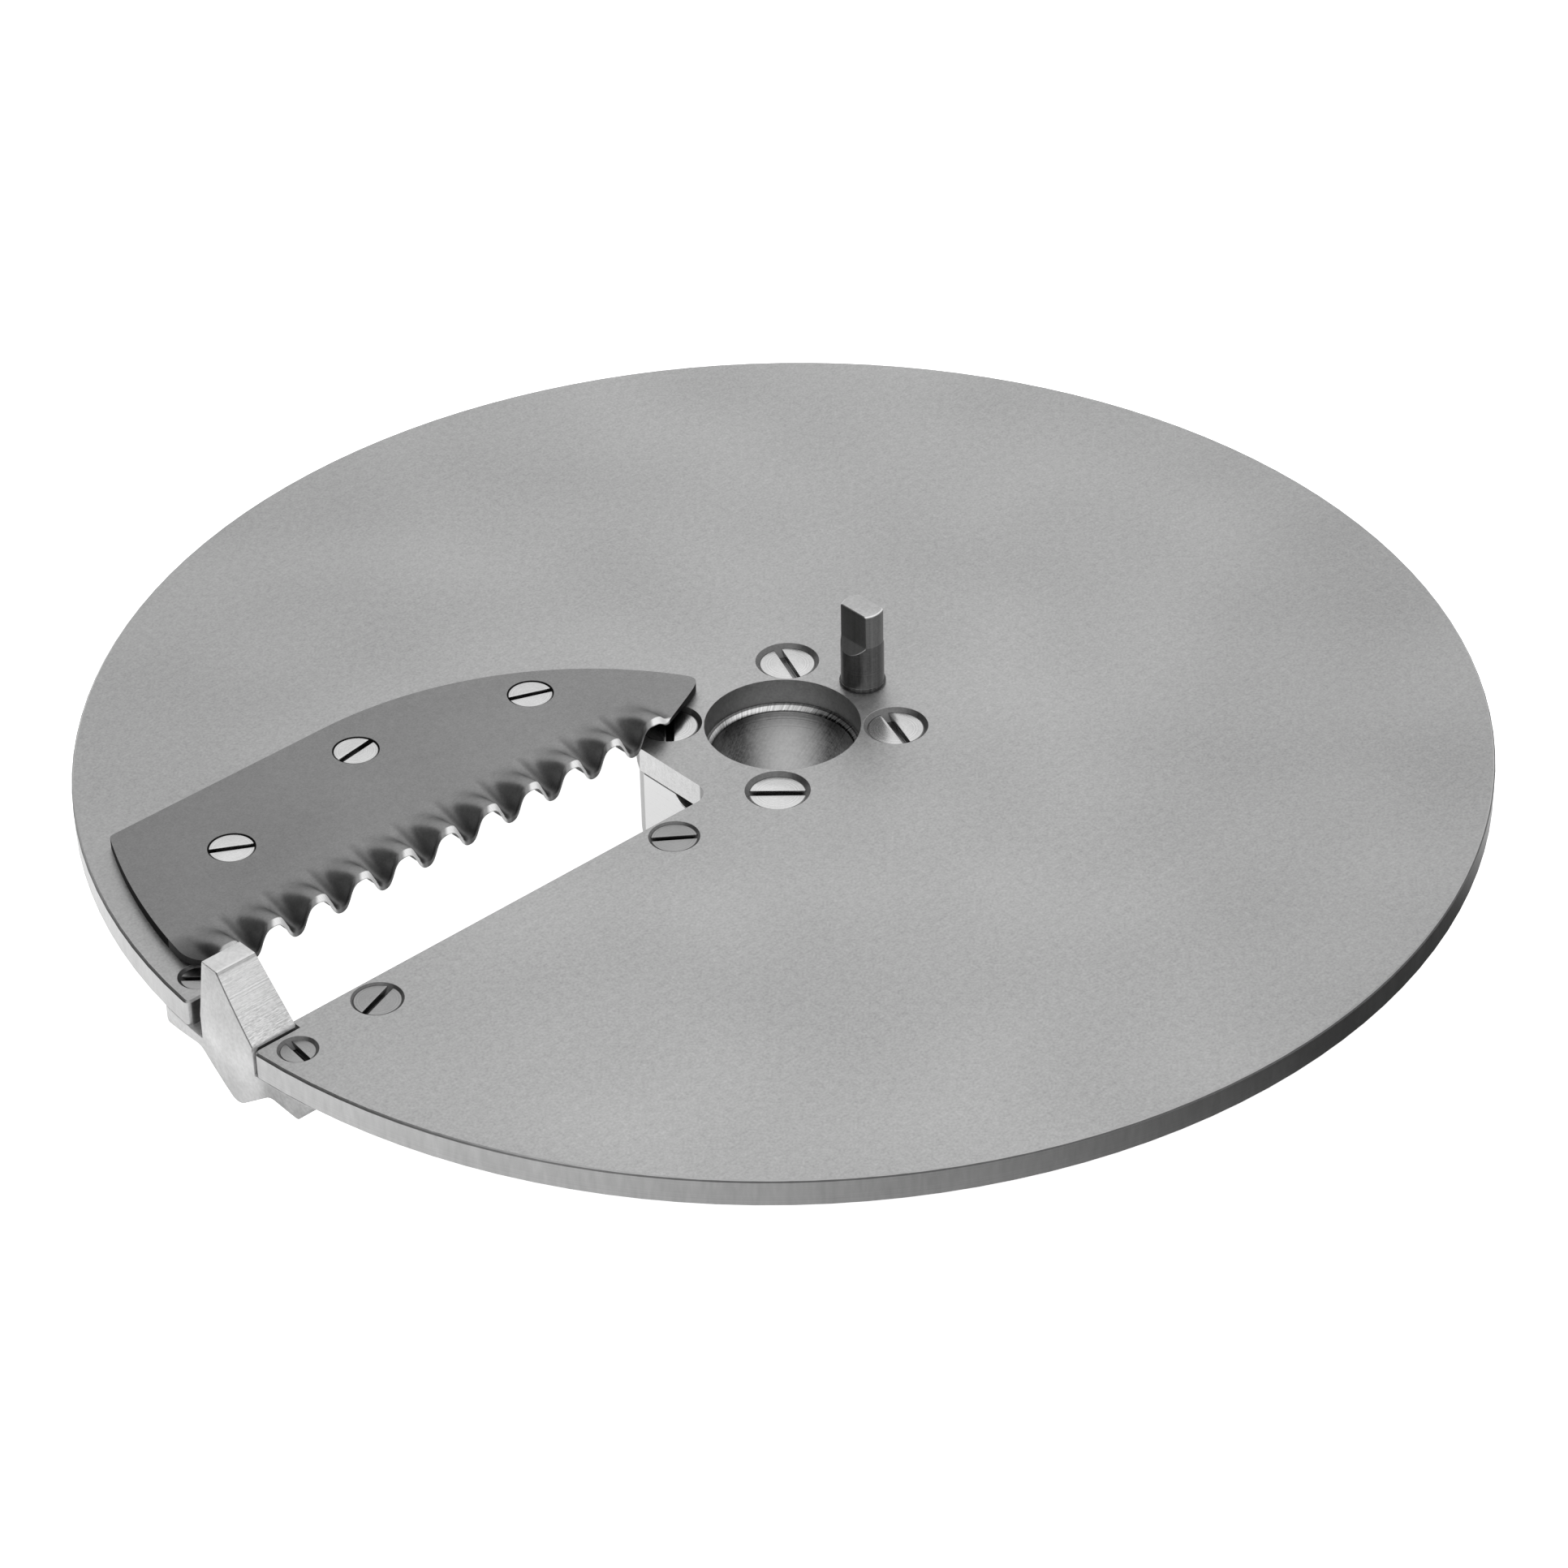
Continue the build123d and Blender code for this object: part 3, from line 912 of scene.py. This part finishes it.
def satin_steel(grain, marks, sunk):
    """The disc: evenly matted faces, a turned rim with a dark edge line of painted shade, and a milled
    slot end with a painted highlight.
    """
    material, tree, shader, place = metal("satin_steel", 0.42)
    x, y, z = xyz(tree, place)
    radius = from_axis(x, y)
    speck = place_group(tree, grain, Place=place, Grain=0.42 * mm, Clouds=38 * mm)
    turned = place_group(tree, marks, Way=z, Pitch=0.3 * mm)
    stretched = vector(tree, x, y, z * 0.25)
    rim_grain = place_group(tree, grain, Place=stretched, Grain=0.9 * mm, Clouds=14 * mm)
    rim = radius.ramp(rim_radius - 0.4 * mm, rim_radius - 0.3 * mm, smooth=False)
    bore = 1.0 - radius.ramp(plate_bore + 0.01 * mm, plate_bore + 0.1 * mm, smooth=False)
    # Painted shade: a dark line along the rim's top edge, stronger towards the camera's right.
    chamfer_shade_line = radius.ramp(rim_radius - 0.23 * mm, rim_radius - 0.19 * mm)
    chamfer_shade_line = chamfer_shade_line * z.ramp(-0.37 * mm, -0.33 * mm)
    chamfer_shade_line = chamfer_shade_line * (0.4 + towards_right(x, y).ramp(-75 * mm, 0.0) * 0.6)
    slot_end_highlight = slot_end_share(x, y, z)
    screws = all_sunk(tree, place, sunk, PLATE_SINKS)
    face_tone = speck["Tone"] * 0.17 + speck["Cloud"] * 0.06 + 0.405
    rim_tone = turned["Tone"] * 0.05 + rim_grain["Tone"] * 0.10 + rim_grain["Cloud"] * 0.05
    rim_tone = rim_tone + 0.46
    tone = face_tone + (rim_tone - face_tone) * rim
    # Painted shade: the disc's faces grow darker towards the camera's left and right.
    tone = tone * (painted_side_shade(x, y, 0.14) * (1.0 - rim) + rim)
    # Painted highlight: the milled end wall of the slot is made much brighter, for the light it
    # catches.
    tone = tone + slot_end_highlight * (0.45 + rim_grain["Tone"] * 0.08)
    # Painted shade in the screws' countersinks and on the bore wall, along with the rim's dark edge
    # line.
    tone = tone * (1.0 - chamfer_shade_line * 0.75) * (1.0 - screws * 0.6) * (1.0 - bore * 0.3)
    # Painted shadow of the post on the walls of the rim notch.
    tone = tone * (1.0 - notch_shadow_share(x, y, z, radius) * 0.7)
    rough = 0.42 + speck["Tone"] * 0.10 - rim * 0.06 - slot_end_highlight * 0.18
    height = speck["Height"] * (1.0 - rim) + turned["Height"] * rim
    finish_with(tree, shader, tone, rough, height, 0.02 * mm)
    return material


def blade_steel(grain, marks, sunk):
    """The blade: darker matt sheet with a bright ground bevel on its crests that is partly a painted
    highlight, and painted shade on its cut sides, in its flutes and in its countersinks.
    """
    material, tree, shader, place = metal("blade_steel", 0.44)
    shader.inputs["Specular Tint"].default_value = (0.5, 0.5, 0.5, 1.0)
    speck = place_group(tree, grain, Place=place, Grain=0.36 * mm, Clouds=24 * mm)
    x, y, z = xyz(tree, place)
    grinding = place_group(tree, marks, Way=x, Pitch=0.2 * mm)
    bevel = stored(tree, "ground")
    screws = all_sunk(tree, place, sunk, BLADE_SINKS)
    waved = y.ramp(BLADE["Fold line"] - 0.2 * mm, BLADE["Fold line"])
    waved = waved * x.ramp(blade_edge_start - 0.2 * mm, blade_edge_start)
    cut_side_shade = z.band(0.0, BLADE["Sheet"] - 0.02 * mm, 0.05 * mm, 0.08 * mm)
    cut_side_shade = cut_side_shade * (1.0 - waved).clamped()
    # Painted shade: the sheet grows darker towards the camera's left and right.
    face_tone = (speck["Tone"] * 0.09 + speck["Cloud"] * 0.03 + 0.265) * painted_side_shade(x, y, 0.2)
    # Painted shade in the flutes.
    face_tone = face_tone * (1.0 - stored(tree, "flute_shade"))
    # The ground bevel is bright steel, and partly a painted highlight on the crests.
    bevel_tone_and_highlight = grinding["Tone"] * 0.12 + 0.80
    tone = face_tone + (bevel_tone_and_highlight - face_tone) * bevel
    # Painted shade on the sheet's cut sides and in the countersinks.
    tone = tone * (1.0 - cut_side_shade * 0.85) * (1.0 - screws * 0.75)
    feed(tree, 1.0 - bevel * 0.7, shader.inputs["Metallic"])
    rough = 0.44 + speck["Tone"] * 0.05 + bevel * 0.06
    finish_with(tree, shader, tone, rough, speck["Height"], 0.014 * mm)
    return material


def slope_share(y, z):
    """1 on the post's machined slope down to its toe in the notch, and 1 on the toe alone."""
    slope = (y + z).ramp(slope_reach - 0.1 * mm, slope_reach + 0.1 * mm, smooth=False)
    slope = slope * z.ramp(0.0, 0.1 * mm)
    toe = y.ramp(post_side, post_side + 0.06 * mm) * z.ramp(-0.5 * mm, -0.4 * mm)
    return slope.at_least(toe), toe


def seam_shade_share(y, z, radius):
    """1 in the narrow gap between the post's toe and the plate, where shade is painted."""
    toe_side = y.ramp(post_side, post_side + 0.06 * mm)
    below_top = z.band(-0.9 * mm, 0.2 * mm, 0.3 * mm, 0.1 * mm)
    return toe_side * below_top * (1.0 - radius.ramp(rim_radius - 1.3 * mm, rim_radius - 0.7 * mm))


def cast_aluminium(grain, marks):
    """The casting: a rough pale skin, machined on its slope and on its top, with painted shade along
    the slope's top edge and in the seam at its toe.
    """
    material, tree, shader, place = metal("cast_aluminium", 0.5)
    x, y, z = xyz(tree, place)
    radius = from_axis(x, y)
    speck = place_group(tree, grain, Place=place, Grain=0.6 * mm, Clouds=7 * mm)
    crosswise = vector(tree, x * 0.25, y, z)
    chatter = place_group(tree, grain, Place=crosswise, Grain=0.16 * mm, Clouds=5 * mm)
    cut = place_group(tree, marks, Way=y, Pitch=0.16 * mm)
    slope, toe = slope_share(y, z)
    # Painted shade: a soft dark band along the top edge of the slope.
    crease_shade = z.band(post_top - 0.6 * mm, post_top - 0.05 * mm, 0.3 * mm, 0.05 * mm) * slope
    skin_edge = rim_radius - z * (post_lean / post_top)
    outer_line = slope * radius.ramp(skin_edge - 0.16 * mm, skin_edge - 0.10 * mm)
    lobe = (1.0 - z.ramp(-5.0 * mm, -4.0 * mm)) * y.ramp(8 * mm, 11 * mm)
    top = z.ramp(post_top - 0.25 * mm, post_top - 0.15 * mm)
    lower_end = 1.0 - z.ramp(1.0 * mm, 6.0 * mm)
    cast_tone = 0.56 + speck["Tone"] * 0.18 + speck["Cloud"] * 0.15 - lobe * 0.17 + top * 0.10
    cut_tone = 0.66 + cut["Tone"] * 0.18 + chatter["Tone"] * (0.24 + lower_end * 0.30)
    tone = cast_tone + (cut_tone - cast_tone) * slope + toe * 0.2
    tone = tone * (1.0 - outer_line * 0.7) * (1.0 - crease_shade * 0.35)
    # Painted shade in the gap at the post's toe.
    tone = tone * (1.0 - seam_shade_share(y, z, radius) * 0.85)
    rough = 0.5 + speck["Tone"] * 0.1 - slope * 0.1
    height = speck["Height"] * (1.0 - slope) + cut["Height"] * slope * 0.3
    finish_with(tree, shader, tone, rough, height, 0.08 * mm)
    return material


def turned_steel(grain, marks):
    """The hub ring: turned on its round walls, with a scratched lead-in and a milled flat; painted
    shade and highlights lie on its bore, lead-in and flat, and just under the plate.
    """
    material, tree, shader, place = metal("turned_steel", 0.3)
    x, y, z = xyz(tree, place)
    radius = from_axis(x, y)
    speck = place_group(tree, grain, Place=place, Grain=0.5 * mm, Clouds=10 * mm)
    turned = place_group(tree, marks, Way=z, Pitch=0.3 * mm)
    round_the_bore = y.math("ARCTAN2", x) * ((hub_bore + plate_bore) / 2)
    dragged = place_group(tree, marks, Way=round_the_bore + z * 0.6, Pitch=0.35 * mm)
    lead_in = z.ramp(lead_in_foot - 0.05 * mm, lead_in_foot + 0.15 * mm)
    lead_in = lead_in * (1.0 - radius.ramp(plate_bore + 0.1 * mm, plate_bore + 0.4 * mm))
    # Painted highlight: the milled flat is made much brighter.
    milled_flat_highlight = x.ramp(slot_end_line - 0.35 * mm, slot_end_line - 0.05 * mm)
    # Painted shade just under the plate, where it meets the hub.
    joint_shade = z.ramp(plate_underside - 0.34 * mm, plate_underside - 0.20 * mm)
    bore = 1.0 - radius.ramp(hub_bore + 0.1 * mm, hub_bore + 0.3 * mm)
    # Painted reflection: a bright upright band on the back of the bore; the rest of the bore is painted
    # dark as shade.
    towards_back = (x + y) * -0.7071 / radius
    painted_back_reflection = towards_back.ramp(0.78, 1.0, smooth=False).power(1.5)
    painted_left_light = (-towards_right(x, y) / radius).ramp(-0.8, 0.5)
    bore_shade_and_reflection = painted_back_reflection * 0.42 + dragged["Tone"] * 0.04 - turned["Tone"] * 0.08 - 0.41
    tone = 0.50 + speck["Tone"] * 0.12 + turned["Tone"] * 0.10 + bore * bore_shade_and_reflection
    # The lead-in's scratches, with painted light towards the camera's left.
    tone = tone + lead_in * (dragged["Tone"] * 0.45 + painted_left_light * 0.40 - 0.15)
    tone = (tone + milled_flat_highlight * 0.47) * (1.0 - joint_shade * 0.8)
    rough = 0.30 + speck["Tone"] * 0.06
    finish_with(tree, shader, tone, rough, turned["Height"], 0.012 * mm)
    return material


def dark_steel(grain, marks):
    """The drive pin: dark hardened steel, turned, with milled flats and a pale worn end, painted
    highlights on its top edge and shoulders, and painted shade at its base.
    """
    material, tree, shader, place = metal("dark_steel", 0.3)
    x, y, z = xyz(tree, place)
    speck = place_group(tree, grain, Place=place, Grain=0.4 * mm, Clouds=5 * mm)
    turned = place_group(tree, marks, Way=z, Pitch=0.25 * mm)
    drawn = place_group(tree, marks, Way=x - y, Pitch=0.7 * mm)
    off_middle = (x - pin_line).math("ABSOLUTE")
    above_ledge = (z - pin_ledge + off_middle - (pin_flat - 0.05 * mm)).math("ABSOLUTE")
    # Painted highlight on the sloped shoulder below each flat.
    ledge_highlight = 1.0 - above_ledge.ramp(0.05 * mm, 0.12 * mm)
    ledge_highlight = ledge_highlight * off_middle.ramp(pin_flat - 0.1 * mm, pin_flat)
    top = z.ramp(pin_top - 0.2 * mm, pin_top - 0.1 * mm)
    # Painted highlight along the top edge.
    edge_highlight = z.band(pin_top - 0.24 * mm, pin_top - 0.01 * mm, 0.08 * mm, 0.05 * mm)
    # Painted shade round the pin's base, where it meets the plate.
    collar_shade = 1.0 - z.ramp(pin_collar_top - 0.08 * mm, pin_collar_top)
    flat = z.ramp(pin_ledge - 0.1 * mm, pin_ledge + 0.1 * mm)
    flat = flat * (1.0 - off_middle.ramp(pin_flat - 0.04 * mm, pin_flat + 0.02 * mm))
    side_tone = turned["Tone"] * 0.03 + drawn["Tone"] * 0.05 * (1.0 - top)
    tone = 0.17 + flat * 0.09 - collar_shade * 0.10 + speck["Tone"] * 0.05 + side_tone
    tone = tone + top * (0.17 + speck["Tone"] * 0.1) + edge_highlight * 0.35 + ledge_highlight * 0.2
    rough = 0.30 + speck["Tone"] * 0.05
    finish_with(tree, shader, tone, rough, turned["Height"], 0.010 * mm)
    return material


def screw_steel(name, tone, roughness, grain, marks):
    """A screw, faced on a lathe: faint rings round its own axis, and painted shade in its driver slot
    and round its head's edge.
    """
    material, tree, shader, place = metal(name, roughness)
    speck = place_group(tree, grain, Place=place, Grain=0.35 * mm, Clouds=4 * mm)
    centred = add_node(tree, "ShaderNodeAttribute", {"attribute_name": "from_axis"})
    x, y, z = xyz(tree, centred.outputs["Vector"])
    from_middle = from_axis(x, y)
    rings = place_group(tree, marks, Way=from_middle, Pitch=0.22 * mm)
    # Painted shade in the driver slot and round the head's edge.
    slot_shade = 1.0 - z.ramp(-0.5 * mm, -0.12 * mm)
    head_edge_shade = (from_middle / stored(tree, "head_radius")).ramp(0.935, 0.955)
    shade = tone * (1.0 + speck["Tone"] * 0.14 + rings["Tone"] * 0.16 + speck["Cloud"] * 0.1)
    shade = shade * (1.0 - slot_shade * 0.68) * (1.0 - head_edge_shade * 0.7)
    rough = roughness + speck["Tone"] * 0.06
    finish_with(tree, shader, shade, rough, rings["Height"], 0.010 * mm)
    return material


def make_finishes():
    """Every finish, by the name of its slot in the record."""
    grain = fine_grain_group()
    marks = tool_marks_group()
    sunk = sunk_group()
    return {
        "satin_steel": satin_steel(grain, marks, sunk),
        "blade_steel": blade_steel(grain, marks, sunk),
        "cast_aluminium": cast_aluminium(grain, marks),
        "turned_steel": turned_steel(grain, marks),
        "dark_steel": dark_steel(grain, marks),
        "bright_steel": screw_steel("bright_steel", 0.58, 0.22, grain, marks),
        "grey_steel": screw_steel("grey_steel", 0.30, 0.30, grain, marks),
    }


# Studio


def make_camera():
    """The camera of the photograph, which looks down from beyond the rim, from +X and +Y."""
    lens = bpy.data.cameras.new("camera")
    lens.sensor_width = 36.0
    lens.lens = LENS_LENGTH
    lens.clip_start = 0.01
    lens.clip_end = 20.0
    camera = bpy.data.objects.new("camera", lens)
    turn = Matrix((LENS_RIGHT, -LENS_DOWN, -LENS_AHEAD)).transposed()
    camera.matrix_world = Matrix.Translation(LENS_PLACE) @ turn.to_4x4()
    bpy.context.scene.collection.objects.link(camera)
    bpy.context.scene.camera = camera


def make_lamp(name, place, aim, side, watts):
    """A large soft square lamp."""
    light = bpy.data.lights.new(name, "AREA")
    light.shape = "SQUARE"
    light.size = side
    light.energy = watts
    lamp = bpy.data.objects.new(name, light)
    lamp.location = place
    lamp.rotation_euler = (Vector(aim) - Vector(place)).to_track_quat("-Z", "Y").to_euler()
    bpy.context.scene.collection.objects.link(lamp)


def make_world():
    """White all round, with darker parts at the camera's left and right that only shine shows."""
    world = bpy.data.worlds.new("studio")
    world.use_nodes = True
    bpy.context.scene.world = world
    tree = world.node_tree
    background = tree.nodes["Background"]
    look = tree.nodes.new("ShaderNodeTexCoord").outputs["Generated"]
    glossy = Flow(tree, tree.nodes.new("ShaderNodeLightPath").outputs["Is Glossy Ray"])

    def towards(side, elevation):
        """How nearly a ray goes to the camera's left or right, at an elevation in degrees."""
        tilt = math.radians(elevation)
        direction = side * math.cos(tilt) + Vector((0, 0, math.sin(tilt)))
        product = add_node(tree, "ShaderNodeVectorMath", {"operation": "DOT_PRODUCT"})
        tree.links.new(look, product.inputs[0])
        product.inputs[1].default_value = direction
        return Flow(tree, product.outputs["Value"])

    left = -Vector((LENS_RIGHT.x, LENS_RIGHT.y, 0)).normalized()
    dark_left = towards(left, 26).ramp(0.70, 0.92) * 0.9
    dark_right = towards(-left, -5).ramp(0.80, 0.97) * 0.7
    studio = 1.0 - dark_left - dark_right
    level = 1.0 + (studio - 1.0) * glossy
    feed(tree, neutral(tree, level), background.inputs["Color"])
    background.inputs["Strength"].default_value = 1.0


def floor_finish():
    """White to the camera, with darker and brighter parts for shine alone, and clear from below."""
    material = bpy.data.materials.new("pale_floor")
    material.use_nodes = True
    tree = material.node_tree
    tree.nodes.remove(tree.nodes["Principled BSDF"])
    out = tree.nodes["Material Output"]
    path = tree.nodes.new("ShaderNodeLightPath").outputs
    glossy = Flow(tree, path["Is Glossy Ray"])
    seen = (Flow(tree, path["Is Camera Ray"]) + Flow(tree, path["Is Transmission Ray"])).clamped()
    place = tree.nodes.new("ShaderNodeTexCoord").outputs["Object"]
    x, y, _ = xyz(tree, place)
    sideways = towards_right(x, y)
    nearer = (x * LENS_AHEAD.x + y * LENS_AHEAD.y) * -1.0
    # Painted reflection: for shine alone the floor glows, darker to the camera's right and far left and
    # brighter nearer its left.
    dark_right = sideways.ramp(-0.07, 0.10, smooth=False) * nearer.ramp(-0.01, 0.03) * 0.95
    dark_left = (-sideways).ramp(0.2, 0.32) * 0.9
    bright_left = (-sideways).ramp(0.06, 0.13) * (1.0 - dark_left) * 0.35
    open_floor = 1.0 + (bright_left - dark_right.at_least(dark_left)) * glossy
    matt = add_node(
        tree,
        "ShaderNodeBsdfDiffuse",
        Color=neutral(tree, (0.9 - glossy * 0.6) * open_floor),
    )
    glow = add_node(
        tree,
        "ShaderNodeEmission",
        Color=(1.0, 1.0, 1.0, 1.0),
        Strength=seen * 0.85 + glossy * 0.75 * open_floor,
    )
    lit = tree.nodes.new("ShaderNodeAddShader")
    tree.links.new(matt.outputs[0], lit.inputs[0])
    tree.links.new(glow.outputs[0], lit.inputs[1])
    clear = tree.nodes.new("ShaderNodeBsdfTransparent")
    one_sided = tree.nodes.new("ShaderNodeMixShader")
    back = tree.nodes.new("ShaderNodeNewGeometry").outputs["Backfacing"]
    tree.links.new(back, one_sided.inputs[0])
    tree.links.new(lit.outputs[0], one_sided.inputs[1])
    tree.links.new(clear.outputs[0], one_sided.inputs[2])
    tree.links.new(one_sided.outputs[0], out.inputs["Surface"])
    return material


def make_floor():
    """A pale floor at the level of the hub's lower end, which carries the soft shadow."""
    low = cad_box[0].z
    reach = 4.0
    shape = bmesh.new()
    corners = [
        shape.verts.new((x * reach, y * reach, low))
        for x, y in ((-1, -1), (1, -1), (1, 1), (-1, 1))
    ]
    shape.faces.new(corners)
    mesh = bpy.data.meshes.new("floor")
    shape.to_mesh(mesh)
    shape.free()
    floor = show("floor", mesh)
    floor.data.materials.append(floor_finish())


def make_studio():
    """Camera, world, floor and one broad soft lamp."""
    bpy.context.scene.view_settings.view_transform = "Standard"
    make_camera()
    make_world()
    make_floor()
    make_lamp("soft_lamp_above", place=(-0.5, -0.3, 1.4), aim=(0, 0, 0), side=1.6, watts=1.5)


finishes = make_finishes()
make_blade(finishes["blade_steel"])
make_screws(finishes)
dress("disc_plate", finishes["satin_steel"])
for node, name, slot, width in (
    ("hub", "hub_ring", "turned_steel", 0.18 * mm),
    ("drive_pin", "drive_pin_milled", "dark_steel", 0.12 * mm),
    ("bridge_casting", "bridge_casting_skin", "cast_aluminium", 0.16 * mm),
):
    piece = merged_copy(node, name)
    break_edges(piece, width, 25, 3)
    smooth_between_edges(piece, 30)
    stand_for(piece, node, finishes[slot])
make_studio()

bpy.context.view_layer.update()
